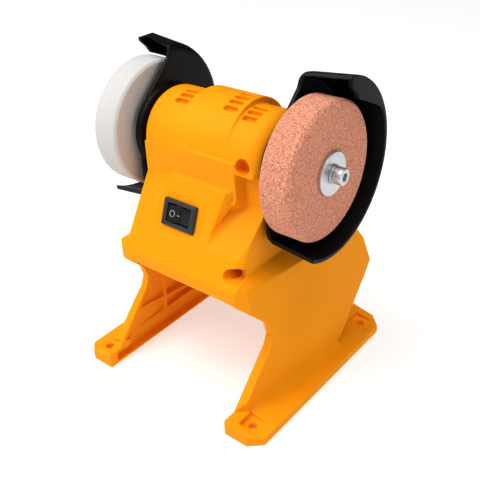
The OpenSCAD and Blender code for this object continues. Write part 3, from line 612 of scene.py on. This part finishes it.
rockerShape = dict(half=7.15, trim=0.3, edge=3.7, middle=1.5, fold=0.004, drop=0.02, columns=41, lip=3.2,
                   hip=(0.5, 1.4), heel=(2.2, -2.4), core=(0.0, 0.9), deep=4.7, pivot=-1.5, rest=12.0,
                   along=[-1.0, -1.0, -0.97, -0.93, 0.93, 0.97, 1.0, 1.0],
                   pull=[0.0, 0.95, 0.985, 1.0, 1.0, 0.985, 0.95, 0.0])


# height of the rocker's dished face at x: two slopes that meet in a soft fold at the middle, by the root of
# the squared share of the half width plus a small fold
def rockerTop(x):
    k = rockerShape
    share = np.sqrt((x / (k["half"] - k["trim"])) ** 2 + k["fold"])
    return k["middle"] + (k["edge"] - k["middle"]) * share - k["drop"]


# rocker: a dished outline across the switch carried up the panel, drawn in to its core a little at both ends
def rockerGrid(k):
    w = k["half"] - k["trim"]
    across = np.linspace(w, -w, k["columns"])
    upper = np.stack([across, rockerTop(across)], 1)
    right = np.array([(w, k["lip"]), (k["half"] - k["hip"][0], k["hip"][1]), k["heel"]])
    loop = np.concatenate([upper, right * np.array([-1.0, 1.0]), right[::-1]])
    core, pull = np.array(k["core"]), np.array(k["pull"])[:, None, None]
    section = core + (loop - core)[None] * pull
    y = np.broadcast_to(np.array(k["along"])[:, None] * k["deep"], section.shape[:2])
    return np.stack([section[..., 0], y, section[..., 1]], -1), gridQuads(*y.shape, False, True)


# turns local points by the rest angle about the rocker's pin
def onRocker(points):
    a = math.radians(rockerShape["rest"])
    turn = np.array([(math.cos(a), 0, -math.sin(a)), (0, 1, 0), (math.sin(a), 0, math.cos(a))])
    return onPanel(points @ turn + np.array([0, 0, rockerShape["pivot"]]))


rockerPoints, rockerQuads = rockerGrid(rockerShape)
makePiece("switchRocker", onRocker(rockerPoints), rockerQuads, "rocker", ["switch_rocker"], "switch_plastic",
          sharp=40)

markShape = dict(ringAt=(-4.7, 0.1), ringHalf=(1.4, 1.9), stroke=0.34, steps=48, lift=0.05, sink=0.1,
                 barAt=(-1.3, -0.6), barHalf=(0.75, 0.2), barCorner=0.2, barTurn=-22.0)


# ring mark: a flat band between two ellipses that follows the rocker's raised half
def markRing(m):
    a = np.linspace(0, 2 * np.pi, m["steps"], endpoint=False)[:, None]
    inset = np.array([m["stroke"], m["stroke"], 0.0, 0.0])[None]
    up = np.array([-m["sink"], m["lift"], m["lift"], -m["sink"]])[None]
    px = m["ringAt"][0] + (m["ringHalf"][0] - inset) * np.cos(a)
    py = m["ringAt"][1] + (m["ringHalf"][1] - inset) * np.sin(a)
    return np.stack([px, py, up + rockerTop(px)], -1), gridQuads(m["steps"], 4, True, True)


# bar mark: a short turned bar beside the ring
def markBar(m):
    grid, quads = softBox(*m["barHalf"], m["barCorner"], -m["sink"], m["lift"], steps=5)
    a = math.radians(m["barTurn"])
    turn = np.array([(math.cos(a), math.sin(a), 0), (-math.sin(a), math.cos(a), 0), (0, 0, 1)])
    grid = grid @ turn + np.array([*m["barAt"], 0])
    grid[..., 2] += rockerTop(grid[..., 0])
    return grid, quads


markPoints, markQuads = joinGrids([markRing(markShape), markBar(markShape)])
makePiece("switchMarks", onRocker(markPoints), markQuads, "rocker", [], None, markFinish, sharp=50)
print("grinder: switch made")

cameraShape = dict(at=(243.142, -281.553, 304.835), azimuth=40.05, elevation=31.497, roll=2.436,
                   focal=724.0, frame=480.0, sensor=36.0)


# camera axes from azimuth, elevation and roll in degrees; focal length and frame are in the photo's pixels
def makeCamera(c):
    az, el, roll = (math.radians(c[k]) for k in ("azimuth", "elevation", "roll"))
    ahead = Vector((-math.sin(az) * math.cos(el), math.cos(az) * math.cos(el), -math.sin(el)))
    right = Vector((math.cos(az), math.sin(az), 0))
    up = right.cross(ahead)
    right, up = right * math.cos(roll) - up * math.sin(roll), up * math.cos(roll) + right * math.sin(roll)
    turn = Matrix((right, up, -ahead)).transposed().to_4x4()
    data = bpy.data.cameras.new("photoCamera")
    data.sensor_width = c["sensor"]
    data.lens = c["focal"] / c["frame"] * c["sensor"]
    data.clip_start = 0.01
    camera = newObject("photoCamera", data)
    camera.matrix_world = Matrix.Translation(Vector(c["at"]) * mm) @ turn
    bpy.context.scene.camera = camera


makeCamera(cameraShape)


# pale card that glows, with a faint drift of tone
def cardFinish(name, look):
    finish, tree, shader, place = newFinish(name)
    tones = [(look["tone"] * k,) * 3 for k in (1 - look["drift"], 1)]
    drift = noiseOf(tree, place, look["driftScale"])
    tree.links.new(rampOf(tree, drift, list(zip(noiseSpan, tones))), shader.inputs["Base Color"])
    shader.inputs["Roughness"].default_value = look["rough"]
    shader.inputs["Emission Color"].default_value = (1.0, 1.0, 1.0, 1.0)
    shader.inputs["Emission Strength"].default_value = look["glow"]
    return finish


def stageCard(name, points, quads, finish):
    mesh = bpy.data.meshes.new(name)
    mesh.from_pydata((points.reshape(-1, 3) * mm).tolist(), [], quads.tolist())
    mesh.materials.append(finish)
    card = newObject(name, mesh)
    return card


floorShape = dict(half=3000.0, height=-0.05, tone=0.5, drift=0.01, driftScale=3.0, rough=0.9, glow=0.5)
half, level = floorShape["half"], floorShape["height"]
floorPoints = np.array([(-half, -half, level), (half, -half, level),
                        (half, half, level), (-half, half, level)])
stageCard("floor", floorPoints, np.array([(0, 1, 2, 3)]), cardFinish("paleFloor", floorShape))

backdropShape = dict(radius=2900.0, foot=600.0, height=2600.0, rows=13, steps=96, tone=0.5, drift=0.0,
                     driftScale=3.0, rough=0.5, glow=1.0)


# backdrop: a profile of radius and height turned about the upright axis, a wall with a round foot
def backdropGrid(b):
    a = np.linspace(0, np.pi / 2, b["rows"])
    r = np.append(b["radius"] - b["foot"] * (1 - np.sin(a)), b["radius"])
    z = np.append(b["foot"] * (1 - np.cos(a)), b["height"])
    turn = np.linspace(0, 2 * np.pi, b["steps"], endpoint=False)[:, None]
    grid = np.stack(np.broadcast_arrays(r * np.cos(turn), r * np.sin(turn), z[None]), -1)
    return grid, gridQuads(b["steps"], len(r), True, False)


backdrop = stageCard("backdrop", *backdropGrid(backdropShape), cardFinish("paleBackdrop", backdropShape))
# only the camera sees the backdrop, so the light on the grinder comes from the lamps and the floor alone
backdrop.visible_diffuse = backdrop.visible_glossy = backdrop.visible_shadow = False

lightShape = {
    "key": dict(at=(-350, -550, 900), size=700, power=5.5),
    "right": dict(at=(800, 0, 450), size=600, power=1.7),
    "left": dict(at=(-900, -100, 500), size=600, power=2.4),
    "front": dict(at=(240, -900, 500), size=500, power=1.1),
}
lightAim = Vector((0, 0, 0.1))  # metres
for lightName, light in lightShape.items():
    data = bpy.data.lights.new(lightName, "AREA")
    data.shape = "DISK"
    data.size = light["size"] * mm
    data.energy = light["power"]
    lamp = newObject(lightName, data)
    lamp.location = Vector(light["at"]) * mm
    lamp.rotation_mode = "QUATERNION"
    lamp.rotation_quaternion = (lightAim - lamp.location).to_track_quat("-Z", "Y")

sunShape = dict(power=1.39, spread=60.0)  # straight down and wide, so that the floor is pale far off too
sunData = bpy.data.lights.new("ceiling", "SUN")
sunData.energy = sunShape["power"]
sunData.angle = math.radians(sunShape["spread"])
newObject("ceiling", sunData)

worldShape = dict(glow=0.08, gamma=0.8, exposure=0.21)  # the gamma gives the photo's deep shades
world = bpy.data.worlds.new("studio")
world.use_nodes = True
world.node_tree.nodes["Background"].inputs["Color"].default_value = (1.0, 1.0, 1.0, 1.0)
world.node_tree.nodes["Background"].inputs["Strength"].default_value = worldShape["glow"]
bpy.context.scene.world = world
view = bpy.context.scene.view_settings
view.view_transform = "Standard"
view.gamma = worldShape["gamma"]
view.exposure = worldShape["exposure"]
print("grinder: stage made")
